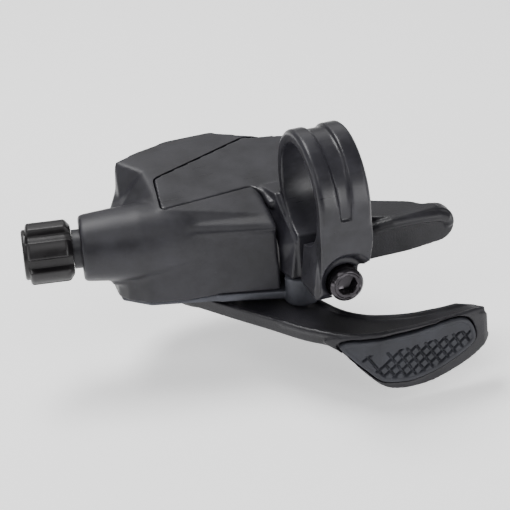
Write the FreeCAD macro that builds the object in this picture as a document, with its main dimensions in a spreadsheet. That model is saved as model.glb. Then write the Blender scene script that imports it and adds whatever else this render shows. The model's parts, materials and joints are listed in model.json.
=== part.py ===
"""Right-hand thumb shifter for a bicycle handlebar, as a parametric FreeCAD document.

Frame: the origin is the centre of the handlebar clamp's bore. +X runs along the bar towards the
levers, +Y points forwards, away from the rider, and +Z points up, along the main axle.
Lengths are in millimetres and angles in degrees.
"""
import FreeCAD, Part
import math
import os
import Sketcher
from FreeCAD import Placement, Rotation, Vector

SIZES = {
    # handlebar clamp
    "bar_radius": 11.15,
    "ring_radius": 13.9,
    "half_width": 5.75,
    "slot_front": -0.8,
    "slot_back": 2.6,
    "ear_bottom": -21.0,
    "bolt_height": -17.6,
    "bolt_radius": 2.5,
    "bolt_head_radius": 3.75,
    "bolt_head_length": 4.0,
    "bolt_seat": -7.6,
    "bolt_length": 15.2,
    "hex_socket": 2.31,
    "hex_depth": 2.4,
    "bracket_screw_radius": 1.5,
    "bracket_screw_head": 2.8,
    # bracket foot, which lies in the top of the housing
    "top_slope": 9.1,
    "top_height": -7.93,
    "foot_thickness": 1.6,
    "web_left": -8.7,
    # housing
    "housing_bottom": -24.0,
    "housing_height": 28.0,
    "wall": 1.6,
    "crease_height": -10.6,
    "front_slope": 34.5,
    "front_yaw": -17.6,
    "post_radius": 2.0,
    "post_height": 16.0,
    "screw_radius": 1.1,
    # plates and main axle
    "plate_thickness": 2.4,
    "boss_x": -4.8,
    "boss_y": 5.2,
    "boss_radius": 3.9,
    "pivot_x": -18.0,
    "pivot_y": 27.5,
    "axle_radius": 3.0,
    "axle_top": -7.7,
    "bridge_bottom": -10.2,
    "bridge_thickness": 1.2,
    "pillar_radius": 1.2,
    "bridge_screw_radius": 0.8,
    "spacer_radius": 4.0,
    "axle_head_height": 1.5,
    # thumb lever and its bearing
    "lever_top": -27.4,
    "lever_thickness": 3.0,
    "hub_radius": 10.5,
    "bearing_radius": 6.0,
    "bearing_bottom": -31.7,
    "bearing_width": 4.0,
    "track_radius": 4.55,
    "race_groove": 0.8,
    "ball_radius": 0.72,
    "race_thickness": 1.0,
    "stud_radius": 1.5,
    "stud_length": 14.2,
    "pawl_circle": 13.5,
    "paddle_face": -18.2,
    "paddle_thickness": 4.2,
    "pad_inset": 1.0,
    "pad_thickness": 1.6,
    # ratchets and cable spool
    "tooth_radius": 10.8,
    "root_radius": 9.2,
    "spool_core": 4.5,
    "bush_radius": 4.0,
    "spool_radius": 11.8,
    "cable_height": -13.1,
    "plug_x": -15.0,
    "plug_back": 44.9,
    "plug_radius": 2.4,
    "plug_head_radius": 3.1,
    "plug_head_height": 0.8,
    # release lever
    "release_x": -2.5,
    "release_y": 30.5,
    "release_pin_radius": 2.0,
    "release_top": -12.3,
    "release_thickness": 3.0,
    "release_face": 4.0,
    # barrel adjuster
    "adjuster_x": -48.4,
    "adjuster_y": 23.3,
    "adjuster_yaw": 168.6,
    "neck_radius": 7.2,
    "neck_bore": 4.3,
    "knob_radius": 6.85,
    "knob_length": 10.7,
    "barrel_radius": 2.3,
    "ferrule_radius": 2.6,
    "ferrule_depth": 8.0,
    "flute_radius": 2.3,
    "flute_circle": 7.9,
    # running clearance between a moving bore and its pin
    "running": 0.05,
}

TOOTH_COUNT = 20
BALL_COUNT = 9
PITCH = 360 / TOOTH_COUNT
DRIVE_STUD_ANGLE = -86.0
HOLD_PIN_ANGLE = 50.0
PAWL_LEAD = 30.0
PAWL_LIFT = 13.0
DRIVE_LEVEL = 0.3
INDEX_LEVEL = 2.8
RATCHET_THICKNESS = 1.9
AXIS_Z = Vector(0, 0, 1)

doc = FreeCAD.newDocument("thumb_shifter")
sheet = doc.addObject("Spreadsheet::Sheet", "Sizes")
for row, (alias, number) in enumerate(SIZES.items(), start=1):
    sheet.set(f"A{row}", alias)
    sheet.set(f"B{row}", str(number))
    sheet.setAlias(f"B{row}", alias)
doc.recompute()

PIVOT = Vector(SIZES["pivot_x"], SIZES["pivot_y"], 0)
exported = []


# ---------------------------------------------------------------- helpers

def kept(part, label):
    """Marks a finished object as the sub-part of that name."""
    part.Label = label
    exported.append(part)
    return part


def bind(part, **expressions):
    """Binds properties to expressions, in which $ stands for the sheet."""
    for name, text in expressions.items():
        part.setExpression(name, text.replace("$", "Sizes."))
    return part


def place(part, spot, rotation=None):
    """Puts a part at a spot of three numbers or expressions, turned by rotation."""
    part.Placement = Placement(Vector(), rotation or Rotation())
    for axis, entry in zip("xyz", spot):
        part.setExpression(f"Placement.Base.{axis}", str(entry).replace("$", "Sizes."))
    return part


def cylinder(name, radius, height, spot, rotation=None):
    part = doc.addObject("Part::Cylinder", name)
    bind(part, Radius=str(radius), Height=str(height))
    return place(part, spot, rotation)


def box(name, size, spot, rotation=None):
    part = doc.addObject("Part::Box", name)
    bind(part, Length=str(size[0]), Width=str(size[1]), Height=str(size[2]))
    return place(part, spot, rotation)


def cut(name, base, *tools):
    """Takes tools away from base, one boolean after another."""
    for index, tool in enumerate(tools, start=1):
        result = doc.addObject("Part::Cut", name if index == len(tools) else f"{name}_{index}")
        result.Base = base
        result.Tool = tool
        base = result
    return base


def fuse(name, *parts):
    result = doc.addObject("Part::MultiFuse", name)
    result.Shapes = list(parts)
    return result


def group(name, *parts):
    """Several separate solids in one node."""
    result = doc.addObject("Part::Compound", name)
    result.Links = list(parts)
    return result


def tube(name, outer, inner, height, spot, rotation=None):
    return cut(
        name,
        cylinder(f"{name}_outer", outer, height, spot, rotation),
        cylinder(f"{name}_inner", inner, height, spot, rotation),
    )


def polar(radius, angle):
    """A point that far from the main axle, at that angle from +X."""
    turn = math.radians(angle)
    return PIVOT + Vector(radius * math.cos(turn), radius * math.sin(turn), 0)


def polygon(sketch, corners):
    """A closed outline whose corners are pinned; a corner is a pair of numbers or cell names."""
    spots = [tuple(SIZES.get(entry, entry) for entry in corner) for corner in corners]
    count = len(spots)
    first = sketch.GeometryCount
    for index in range(count):
        start = Vector(*spots[index], 0)
        end = Vector(*spots[(index + 1) % count], 0)
        sketch.addGeometry(Part.LineSegment(start, end), False)
    for index in range(count):
        follower = first + (index + 1) % count
        sketch.addConstraint(Sketcher.Constraint("Coincident", first + index, 2, follower, 1))
    for index, corner in enumerate(corners):
        for kind, entry, number in zip(("DistanceX", "DistanceY"), corner, spots[index]):
            rule = Sketcher.Constraint(kind, -1, 1, first + index, 1, number)
            found = sketch.addConstraint(rule)
            if isinstance(entry, str):
                sketch.setExpression(f"Constraints[{found}]", f"Sizes.{entry}")


def circle(sketch, centre, radius):
    """A circle pinned at centre; each of the three numbers may be a cell name."""
    spot = [SIZES.get(entry, entry) for entry in (*centre, radius)]
    ring = sketch.addGeometry(Part.Circle(Vector(spot[0], spot[1], 0), AXIS_Z, spot[2]), False)
    rules = (
        Sketcher.Constraint("DistanceX", -1, 1, ring, 3, spot[0]),
        Sketcher.Constraint("DistanceY", -1, 1, ring, 3, spot[1]),
        Sketcher.Constraint("Radius", ring, spot[2]),
    )
    for rule, entry in zip(rules, (*centre, radius)):
        found = sketch.addConstraint(rule)
        if isinstance(entry, str):
            sketch.setExpression(f"Constraints[{found}]", f"Sizes.{entry}")


def body_sketch(body, plane, offset, rotation=None):
    """A sketch on one of the body's origin planes, moved along the plane's normal by offset."""
    sketch = body.newObject("Sketcher::SketchObject", f"{body.Name}_sketch")
    face = next(f for f in body.Origin.OriginFeatures if f.Role == f"{plane}_Plane")
    sketch.AttachmentSupport = [(face, "")]
    sketch.MapMode = "FlatFace"
    sketch.AttachmentOffset = Placement(Vector(), rotation or Rotation())
    sketch.setExpression("AttachmentOffset.Base.z", str(offset).replace("$", "Sizes."))
    return sketch


def grow(body, kind, sketch, length, reverse=False):
    """A Pad or a Pocket of that length from the sketch; length 0 goes through everything."""
    feature = body.newObject(f"PartDesign::{kind}", f"{body.Name}_{kind.lower()}")
    feature.Profile = sketch
    feature.Reversed = reverse
    if length:
        feature.setExpression("Length", str(length).replace("$", "Sizes."))
    else:
        feature.Type = 1
        feature.Midplane = True
    body.Tip = feature
    doc.recompute()
    return feature


def new_body(name):
    return doc.addObject("PartDesign::Body", name)


def plate(name, corners, bottom, thickness):
    """A flat plate from its outline in plan."""
    body = new_body(name)
    sketch = body_sketch(body, "XY", bottom)
    polygon(sketch, corners)
    grow(body, "Pad", sketch, thickness)
    return body


def coil(name, spot, radius, wire, pitch, turns, legs=(), rotation=None):
    """A coil spring of round wire, with straight legs at its ends: (length, angle) each."""
    height = pitch * turns
    helix = Part.makeLongHelix(pitch, height, radius)
    start = Vector(radius, 0, 0)
    heading = Vector(0, 2 * math.pi * radius, pitch).normalize()
    ring = Part.Wire(Part.Circle(start, heading, wire).toShape())
    solids = [Part.Wire(helix.Edges).makePipeShell([ring], True, True)]
    for place_z, (length, angle) in zip((0, height), legs):
        end_turn = math.radians(360 * turns) if place_z else 0.0
        root = Vector(radius * math.cos(end_turn), radius * math.sin(end_turn), place_z)
        way = Vector(math.cos(math.radians(angle)), math.sin(math.radians(angle)), 0)
        solids.append(Part.makeCylinder(wire, length, root, way))
        solids.append(Part.makeSphere(1.25 * wire, root))
    part = doc.addObject("Part::Feature", name)
    part.Shape = solids[0].multiFuse(solids[1:]) if legs else solids[0]
    part.Placement = Placement(spot, rotation or Rotation())
    return part


# ---------------------------------------------------------------- outlines in plan

HOUSING_OUTLINE = [
    (-9.0, 6.4), (-8.4, 9.6), (-5.5, 12.6), (-1.0, 16.0), (4.0, 21.5), ("half_width", 28.4), (3.6, 34.0),
    (-3.4, 40.0), (-10.0, 43.4), (-20.0, 43.8), (-28.0, 42.2), (-35.0, 38.0), (-37.4, 34.0),
    (-41.3, 27.0), (-41.5, 20.1), (-36.0, 14.9),
]
FOOT_OUTLINE = [
    (-31.4, 17.2), (-10.2, 19.1), ("web_left", 15.2), ("web_left", 12.6), ("half_width", 12.6),
    ("half_width", 28.3), (3.2, 33.6), (-6.0, 40.6), (-29.2, 29.5),
]
BASE_OUTLINE = [
    (-8.0, 5.0), (-1.5, 6.5), (-1.0, 12.0), (4.8, 20.0), (4.8, 28.0), (2.5, 33.0), (-4.4, 38.8),
    (-10.2, 42.9), (-20.0, 43.3), (-27.8, 41.7), (-34.6, 37.6), (-36.9, 33.8), (-40.8, 27.0),
    (-41.0, 20.6), (-36.0, 15.3), (-23.0, 11.0), (-21.5, 10.0),
]
ARM_OUTLINE = [
    (-28.4, 24.0), (-24.9, 16.7), (-14.5, 0.4), (-9.4, -7.4), (-5.2, -13.0), (-1.0, -16.6),
    (4.0, "paddle_face"), (24.2, "paddle_face"), (27.6, -16.8), (28.6, -14.4), (26.4, -11.2),
    (19.7, -11.2), (13.3, -10.7), (7.5, -8.7), (4.2, -6.5), (1.5, -3.1), (-0.7, 2.3),
    (-4.4, 14.0), (-7.8, 28.5),
]
PADDLE_OUTLINE = [
    (-5.0, -28.4), (-5.0, -30.4), (-2.9, -31.8), (-0.7, -34.3), (1.1, -36.3), (4.8, -39.9), (6.9, -41.0),
    (9.5, -41.3), (16.1, -40.8), (23.9, -38.3), (28.3, -35.6), (29.0, -33.6), (28.6, -31.0),
    (27.2, -28.6), (24.8, "lever_top"), (-3.8, "lever_top"),
]
PAD_OUTLINE = [
    (-3.7, -28.2), (-4.4, -29.4), (-2.9, -31.4), (0.8, -35.6), (4.0, -38.6), (5.6, -39.4), (9.3, -39.7),
    (13.7, -39.3), (18.2, -38.1), (23.3, -35.9), (25.6, -34.5), (26.3, -32.6), (24.4, -28.6),
    (22.6, -28.0), (12.1, -28.2), (-2.9, -27.9),
]
RELEASE_OUTLINE = [
    (-5.4, 29.2), (0.4, 26.2), (6.6, 19.5), (7.2, 10.0), (7.2, "release_face"), (28.3, "release_face"),
    (30.4, 5.4), (30.9, 8.0), (29.4, 10.2), (25.4, 9.4), (24.0, 11.8), (15.7, 15.4), (8.5, 22.5),
    (0.6, 31.8),
]
RELEASE_FACE_OUTLINE = [
    (7.2, -12.6), (7.2, -21.4), (20.3, -21.2), (28.8, -20.2), (30.5, -18.6), (31.0, -16.4),
    (30.2, -14.2), (28.4, -12.9), (16.7, "release_top"),
]


# ---------------------------------------------------------------- handlebar clamp and its bracket

def tilted_sketch(name, corners, depth):
    """A sketch in the plane of the housing's top, lowered by depth."""
    sketch = doc.addObject("Sketcher::SketchObject", name)
    polygon(sketch, corners)
    tilt = Rotation(Vector(1, 0, 0), SIZES["top_slope"])
    return place(sketch, (0, 0, f"$top_height - {depth}"), tilt)


def extrusion(name, profile, length, direction):
    part = doc.addObject("Part::Extrusion", name)
    part.Base = profile
    part.DirMode = "Custom"
    part.Dir = direction
    part.Solid = True
    part.setExpression("LengthFwd", str(length).replace("$", "Sizes."))
    return part


def make_bracket():
    """The band around the bar, its two ears, the web behind it and the foot on the housing."""
    body = new_body("bracket_band")
    band = body_sketch(body, "YZ", "-$half_width")
    circle(band, (0, 0), "ring_radius")
    grow(body, "Pad", band, "2 * $half_width")
    ears = body_sketch(body, "YZ", "-$half_width")
    polygon(ears, [
        (-13.2, -3.0), (-11.9, -12.0), (-11.2, -18.4), (-9.6, "ear_bottom"), (8.2, "ear_bottom"),
        (8.2, -14.0), (13.0, -4.6),
    ])
    grow(body, "Pad", ears, "2 * $half_width")
    web = body_sketch(body, "YZ", "$web_left")
    polygon(web, [
        (3.4, "ear_bottom"), (8.2, "ear_bottom"), (8.2, -15.0), (13.4, -8.6), (20.0, -7.6),
        (20.0, -5.2), (12.6, -6.2),
    ])
    grow(body, "Pad", web, "$half_width - $web_left")

    foot_profile = tilted_sketch("foot_profile", FOOT_OUTLINE, "$foot_thickness")
    foot = extrusion("bracket_foot", foot_profile, "$foot_thickness", top_normal())
    bar = cylinder("bar_space", "$bar_radius", 60, (-30, 0, 0), Rotation(Vector(0, 1, 0), 90))
    slot = box("ear_slot", (20, "$slot_back - $slot_front", 25), (-8, "$slot_front", -25))
    along_y = Rotation(Vector(1, 0, 0), -90)
    clearance = cylinder("bolt_space", "$bolt_radius", 16, (0, "$bolt_seat", "$bolt_height"), along_y)
    seat = cylinder(
        "head_space", "$bolt_head_radius + 0.3", 10, (0, "$bolt_seat - 10", "$bolt_height"), along_y
    )
    channel = cut(
        "band_channel",
        cylinder("channel_outer", "$ring_radius + 2", 3.4, (-1.5, 0, 0), Rotation(Vector(0, 1, 0), 90)),
        cylinder("channel_inner", "$ring_radius - 0.5", 3.4, (-1.5, 0, 0), Rotation(Vector(0, 1, 0), 90)),
        box("channel_limit", (20, 40, 20), (-10, -20, -25)),
        box("channel_back_limit", (20, 20, 40), (-10, 2, -20)),
    )
    screw_spot = ("$boss_x", "$boss_y", "$ear_bottom")
    screw = cylinder("bracket_screw_space", "$bracket_screw_radius", 6.2, screw_spot)
    whole = fuse("bracket_whole", body, foot)
    kept(cut("clamp_bracket_cut", whole, bar, slot, clearance, seat, channel, screw), "clamp_bracket")


def top_normal():
    slope = math.radians(SIZES["top_slope"])
    return Vector(0, -math.sin(slope), math.cos(slope))


def make_clamp_bolt():
    along_y = Rotation(Vector(1, 0, 0), -90)
    head = cylinder(
        "bolt_head", "$bolt_head_radius", "$bolt_head_length",
        (0, "$bolt_seat - $bolt_head_length", "$bolt_height"), along_y,
    )
    shank = cylinder("bolt_shank", "$bolt_radius", "$bolt_length", (0, "$bolt_seat", "$bolt_height"), along_y)
    socket = doc.addObject("Part::Prism", "bolt_socket")
    socket.Polygon = 6
    bind(socket, Circumradius="$hex_socket", Height="$hex_depth")
    place(socket, (0, "$bolt_seat - $bolt_head_length", "$bolt_height"), along_y)
    kept(cut("clamp_bolt_cut", fuse("bolt_whole", head, shank), socket), "clamp_bolt")


# ---------------------------------------------------------------- housing

ADJUSTER_WAY = Vector(
    math.cos(math.radians(SIZES["adjuster_yaw"])), math.sin(math.radians(SIZES["adjuster_yaw"])), 0
)
ALONG_ADJUSTER = Rotation(AXIS_Z, ADJUSTER_WAY)


def adjuster_spot(reach):
    """A point on the adjuster's axis, that far out from the neck's mouth."""
    return (
        f"$adjuster_x + {reach * ADJUSTER_WAY.x:.4f}",
        f"$adjuster_y + {reach * ADJUSTER_WAY.y:.4f}",
        "$cable_height",
    )


def pod(name, profile, drop):
    """The housing's block under its sloping top and front faces, both lowered by drop."""
    block = extrusion(f"{name}_block", profile, f"$housing_height - {drop}", AXIS_Z)
    top = box(
        f"{name}_above_top", (120, 120, 60), (-80, -20, f"$top_height - 3.2 - {drop}"),
        Rotation(Vector(1, 0, 0), SIZES["top_slope"]),
    )
    yaw = Rotation(AXIS_Z, SIZES["front_yaw"])
    lean = Rotation(Vector(1, 0, 0), SIZES["front_slope"])
    corner = (-60.0, 22.5, f"$crease_height - 1.2 * {drop}")
    front = box(f"{name}_above_front", (120, 60, 60), corner, yaw.multiply(lean))
    return cut(f"{name}_shaped", block, top, front)


def make_housing():
    """The moulded cover: walls, sloping top, adjuster neck and three screw posts."""
    profile = doc.addObject("Sketcher::SketchObject", "housing_profile")
    polygon(profile, HOUSING_OUTLINE)
    place(profile, (0, 0, "$housing_bottom"))
    inner = doc.addObject("Part::Offset2D", "cavity_profile")
    inner.Source = profile
    inner.Join = 2
    inner.setExpression("Value", "-Sizes.wall")
    doc.recompute()
    outside = pod("housing", profile, "0")
    cavity = pod("cavity", inner, "(Sizes.wall + Sizes.foot_thickness)")
    neck = doc.addObject("Part::Cone", "neck")
    bind(neck, Radius1="$neck_radius", Radius2="$neck_radius + 2.0", Height="13")
    place(neck, adjuster_spot(0), Rotation(AXIS_Z, ADJUSTER_WAY.negative()))
    shell = cut("housing_shell", fuse("housing_solid", outside, neck), cavity)
    posts = []
    for index, (x, y) in enumerate(POSTS, start=1):
        height = "$post_height"
        posts.append(cylinder(f"post_{index}", "$post_radius", height, (x, y, "$housing_bottom")))
    filled = fuse("housing_posts", *posts)
    inside = doc.addObject("Part::Common", "posts_inside")
    inside.Base = filled
    inside.Tool = outside
    whole = fuse("housing_whole", shell, inside)
    holes = [
        cylinder(f"post_hole_{index}", "$screw_radius", 6.4, (x, y, "$housing_bottom"))
        for index, (x, y) in enumerate(POSTS, start=1)
    ]
    neck_bore = cylinder("neck_bore_space", "$neck_bore", 17, adjuster_spot(-16), ALONG_ADJUSTER)
    cable = cylinder("cable_space", 1.2, 30, adjuster_spot(-26), ALONG_ADJUSTER)
    window = box("release_window", (20, 24, 5.4), (-6, 14, "$release_top - $release_thickness - 1.2"))
    foot_space = doc.addObject("Part::Offset2D", "foot_space_profile")
    foot_space.Source = doc.getObject("foot_profile")
    foot_space.Join = 2
    foot_space.Value = 0.2
    doc.recompute()
    pocket = extrusion("foot_space", foot_space, 8, top_normal())
    plug_spot = ("$plug_x", "$plug_back + 1", "$cable_height")
    plug = cylinder("plug_space", "$plug_radius", 6, plug_spot, Rotation(Vector(1, 0, 0), 90))
    tools = [*holes, neck_bore, cable, window, pocket, plug, doc.getObject("clamp_bracket_cut")]
    kept(cut("main_housing_cut", whole, *tools), "main_housing")


POSTS = [(-37.6, 24.4), (-31.0, 37.0), (-25.6, 14.8)]


def make_cable_plug():
    """The rubber plug in the hole through which the inner cable is threaded."""
    back = Rotation(Vector(1, 0, 0), 90)
    stem_spot = ("$plug_x", "$plug_back - 0.7", "$cable_height")
    stem = cylinder("plug_stem", "$plug_radius", 2.6, stem_spot, back)
    head_spot = ("$plug_x", "$plug_back", "$cable_height")
    head = cylinder("plug_head", "$plug_head_radius", "$plug_head_height", head_spot, back)
    kept(fuse("cable_plug_whole", stem, head), "cable_plug")


# ---------------------------------------------------------------- plates, axle and fasteners

def arc_slot(name, radius, width, start, end, bottom, thickness):
    """A curved slot about the main axle, as a solid to cut with."""
    rims = []
    for rim in (radius - width / 2, radius + width / 2):
        spots = [polar(rim, angle) for angle in (start, (start + end) / 2, end)]
        rims.append((Part.Arc(*spots).toShape(), spots))
    caps = []
    for angle, turn in ((start, -1), (end, 1)):
        heading = (polar(radius, angle + turn) - polar(radius, angle)).normalize()
        nose = polar(radius, angle) + heading * (width / 2)
        near, far = polar(radius - width / 2, angle), polar(radius + width / 2, angle)
        caps.append(Part.Arc(near, nose, far).toShape())
    wire = Part.Wire(Part.__sortEdges__([rims[0][0], rims[1][0], *caps]))
    part = doc.addObject("Part::Feature", name)
    part.Shape = Part.Face(wire).extrude(Vector(0, 0, thickness))
    part.Placement = Placement(Vector(0, 0, bottom), Rotation())
    return part


LEVER_SWEEP = 54.0
PILLAR_ANGLES = (105.0, 160.0, 190.0)
PILLAR_CIRCLE = 13.4


def make_base_plate():
    """The metal plate that closes the housing, with the boss under the clamp's rear ear."""
    base = plate("base_outline", BASE_OUTLINE, "$housing_bottom - $plate_thickness", "$plate_thickness")
    boss_foot = ("$boss_x", "$boss_y", "$housing_bottom - $plate_thickness - 0.6")
    boss = cylinder(
        "base_boss", "$boss_radius", "$ear_bottom - $housing_bottom + $plate_thickness + 0.6",
        boss_foot,
    )
    whole = fuse("base_whole", base, boss)
    low = "$housing_bottom - $plate_thickness"
    tools = [
        cylinder("base_axle_hole", "$axle_radius", "$plate_thickness", ("$pivot_x", "$pivot_y", low)),
        cylinder(
            "base_release_hole", "$release_pin_radius", "$plate_thickness", ("$release_x", "$release_y", low)
        ),
        arc_slot(
            "stud_slot", SIZES["pawl_circle"], 2 * SIZES["stud_radius"] + 0.8,
            DRIVE_STUD_ANGLE, DRIVE_STUD_ANGLE + LEVER_SWEEP, SIZES["housing_bottom"] - 3.4, 4.4,
        ),
        cylinder("boss_hole", "$bracket_screw_radius", 9, ("$boss_x", "$boss_y", "$housing_bottom - 4")),
        cylinder("boss_recess", "$bracket_screw_head", 2.2, boss_foot),
    ]
    hold = polar(SIZES["pawl_circle"], HOLD_PIN_ANGLE)
    tools.append(cylinder("base_hold_hole", "$stud_radius", "$plate_thickness", (hold.x, hold.y, low)))
    for index, (x, y) in enumerate(POSTS, start=1):
        tools.append(cylinder(f"base_screw_hole_{index}", "$screw_radius", 2.4, (x, y, low)))
        tools.append(cylinder(f"base_screw_recess_{index}", "2 * $screw_radius", 1.2, (x, y, low)))
    kept(cut("base_plate_cut", whole, *tools), "base_plate")


def make_bridge():
    """The upper plate of the mechanism, on its pillars, with their screws."""
    corners = [
        (-24.8, 39.6), (-19.0, 41.4), (-8.2, 40.4), (0.2, 33.0), (0.2, 28.6), (-12.0, 22.0),
        (-28.0, 22.2), (-31.6, 23.4), (-33.0, 27.0), (-32.6, 32.6),
    ]
    spots = [polar(PILLAR_CIRCLE, angle) for angle in PILLAR_ANGLES]
    hold = polar(SIZES["pawl_circle"], HOLD_PIN_ANGLE)
    body = plate("bridge_outline", corners, "$bridge_bottom", "$bridge_thickness")
    low = "$bridge_bottom - 1"
    tools = [
        cylinder("bridge_axle_hole", "$axle_radius", 3, ("$pivot_x", "$pivot_y", low)),
        cylinder("bridge_release_hole", "$release_pin_radius", 3, ("$release_x", "$release_y", low)),
        cylinder("bridge_hold_hole", "$stud_radius", 3, (hold.x, hold.y, "$bridge_bottom - 1")),
    ]
    pillars = []
    screws = []
    for index, spot in enumerate(spots, start=1):
        low = (spot.x, spot.y, "$bridge_bottom - 1")
        tools.append(cylinder(f"bridge_hole_{index}", "$bridge_screw_radius", 3, low))
        height = "$bridge_bottom - $housing_bottom"
        foot = (spot.x, spot.y, "$housing_bottom")
        pillars.append(tube(f"pillar_{index}", "$pillar_radius", "$bridge_screw_radius", height, foot))
        head_low = (spot.x, spot.y, "$bridge_bottom + $bridge_thickness")
        shank_low = (spot.x, spot.y, "$bridge_bottom - 5")
        screws.append(fuse(
            f"bridge_screw_{index}",
            cylinder(f"bridge_screw_head_{index}", "$pillar_radius", 0.7, head_low),
            cylinder(f"bridge_screw_shank_{index}", "$bridge_screw_radius", 6.2, shank_low),
        ))
    kept(cut("bridge_plate_cut", body, *tools), "bridge_plate")
    kept(group("pillar_group", *pillars), "plate_pillars")
    kept(group("bridge_screw_group", *screws), "bridge_screws")


PIN_FOOT = "$housing_bottom - $plate_thickness"
PIN_HEIGHT = "$bridge_bottom - $housing_bottom + $bridge_thickness + $plate_thickness"


def make_screws():
    """The three screws from below into the housing's posts, and the longer one into the bracket."""
    low = "$housing_bottom - $plate_thickness"
    screws = []
    for index, (x, y) in enumerate(POSTS, start=1):
        whole = fuse(
            f"housing_screw_whole_{index}",
            cylinder(f"housing_screw_head_{index}", "2 * $screw_radius", 1.2, (x, y, low)),
            cylinder(f"housing_screw_shank_{index}", "$screw_radius", 8.6, (x, y, low)),
        )
        drive = box(f"housing_screw_drive_{index}", (2.4, 0.6, 0.6), (x - 1.2, y - 0.3, low))
        screws.append(cut(f"housing_screw_{index}", whole, drive))
    kept(group("housing_screw_group", *screws), "housing_screws")
    spot = ("$boss_x", "$boss_y", "$housing_bottom - $plate_thickness - 0.2")
    whole = fuse(
        "bracket_screw_whole",
        cylinder("bracket_screw_head", "$bracket_screw_head", 1.8, spot),
        cylinder("bracket_screw_shank", "$bracket_screw_radius", 11.6, spot),
    )
    socket = doc.addObject("Part::Prism", "bracket_screw_socket")
    socket.Polygon = 6
    bind(socket, Circumradius="1.44", Height="1.2")
    place(socket, spot)
    kept(cut("bracket_screw_cut", whole, socket), "bracket_screw")


def make_axle():
    """The main axle with its head below the bearing, its nut on the bridge and its spacer."""
    spot = ("$pivot_x", "$pivot_y")
    low = (*spot, "$bearing_bottom - $axle_head_height")
    head = cylinder("axle_head", "$axle_radius + 1.1", "$axle_head_height", low)
    shaft = cylinder("axle_shaft", "$axle_radius", "$axle_top - $bearing_bottom + $axle_head_height", low)
    socket = doc.addObject("Part::Prism", "axle_socket")
    socket.Polygon = 6
    bind(socket, Circumradius="2.3", Height="1.4")
    place(socket, low)
    kept(cut("main_axle_cut", fuse("axle_whole", head, shaft), socket), "main_axle")

    nut = doc.addObject("Part::Prism", "nut_prism")
    nut.Polygon = 6
    bind(nut, Circumradius="$axle_radius + 1.6", Height="$axle_top - $bridge_bottom - $bridge_thickness")
    place(nut, (*spot, "$bridge_bottom + $bridge_thickness"))
    hole = cylinder("nut_hole", "$axle_radius", 4, (*spot, "$bridge_bottom"))
    kept(cut("axle_nut_cut", nut, hole), "axle_nut")

    bearing_top = "$bearing_bottom + $bearing_width"
    height = f"$housing_bottom - $plate_thickness - ({bearing_top})"
    kept(tube("spacer_tube", "$spacer_radius", "$axle_radius", height, (*spot, bearing_top)), "axle_spacer")


# ---------------------------------------------------------------- thumb lever

def make_bearing():
    """The sealed ball bearing in the thumb lever's hub."""
    spot = ("$pivot_x", "$pivot_y", "$bearing_bottom")
    track = doc.addObject("Part::Torus", "ball_track")
    bind(track, Radius1="$track_radius", Radius2="$race_groove")
    place(track, ("$pivot_x", "$pivot_y", "$bearing_bottom + $bearing_width / 2"))
    inner = tube("inner_race_tube", "$axle_radius + 1.1", "$axle_radius", "$bearing_width", spot)
    kept(cut("inner_race_cut", inner, track), "bearing_inner_race")
    bore = "$bearing_radius - $race_thickness"
    outer = tube("outer_race_tube", "$bearing_radius", bore, "$bearing_width", spot)
    kept(cut("outer_race_cut", outer, track), "bearing_outer_race")
    balls = []
    for index in range(BALL_COUNT):
        seat = polar(SIZES["track_radius"], 360 / BALL_COUNT * index)
        ball = doc.addObject("Part::Sphere", f"ball_{index + 1}")
        bind(ball, Radius="$ball_radius")
        balls.append(place(ball, (seat.x, seat.y, "$bearing_bottom + $bearing_width / 2")))
    kept(group("ball_group", *balls), "bearing_balls")
    seals = []
    for index, offset in enumerate(("0", "$bearing_width - 0.4"), start=1):
        low = ("$pivot_x", "$pivot_y", f"$bearing_bottom + {offset}")
        seals.append(tube(f"seal_{index}", bore, "$axle_radius + 1.1 + $running", 0.4, low))
    kept(group("seal_group", *seals), "bearing_seals")


def make_thumb_lever():
    """The forged thumb lever: hub, flat arm and the paddle that hangs from the arm's outer end."""
    body = new_body("lever_blank")
    arm = body_sketch(body, "XY", "$lever_top - $lever_thickness")
    polygon(arm, ARM_OUTLINE)
    grow(body, "Pad", arm, "$lever_thickness")
    hub = body_sketch(body, "XY", "$bearing_bottom - 0.2")
    circle(hub, ("pivot_x", "pivot_y"), "hub_radius")
    grow(body, "Pad", hub, "$lever_top - $bearing_bottom + 0.2")
    paddle = body_sketch(body, "XZ", "-$paddle_face - $paddle_thickness")
    polygon(paddle, PADDLE_OUTLINE)
    grow(body, "Pad", paddle, "$paddle_thickness")
    recess = body_sketch(body, "XZ", "-$paddle_face - $pad_inset")
    polygon(recess, PAD_OUTLINE)
    grow(body, "Pocket", recess, "$pad_inset + 1", reverse=True)
    spot = ("$pivot_x", "$pivot_y")
    stud = polar(SIZES["pawl_circle"], DRIVE_STUD_ANGLE)
    seat_low = (*spot, "$bearing_bottom - 0.2")
    seat = cylinder("bearing_seat", "$bearing_radius", "$bearing_width + 0.2", seat_low)
    clear = cylinder("axle_clearance", "$bearing_radius - 1.4", 10, (*spot, "$bearing_bottom - 2"))
    hole = cylinder("stud_hole", "$stud_radius", 5, (stud.x, stud.y, "$lever_top - 4"))
    kept(cut("main_lever_cut", body, seat, clear, hole), "main_lever")


def make_grip_pad():
    """The rubber pad let into the paddle's face."""
    body = new_body("grip_pad_body")
    sketch = body_sketch(body, "XZ", "-$paddle_face - $pad_inset")
    polygon(sketch, PAD_OUTLINE)
    grow(body, "Pad", sketch, "$pad_thickness")
    kept(body, "lever_grip_pad")


# ---------------------------------------------------------------- pawls and ratchets

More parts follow.
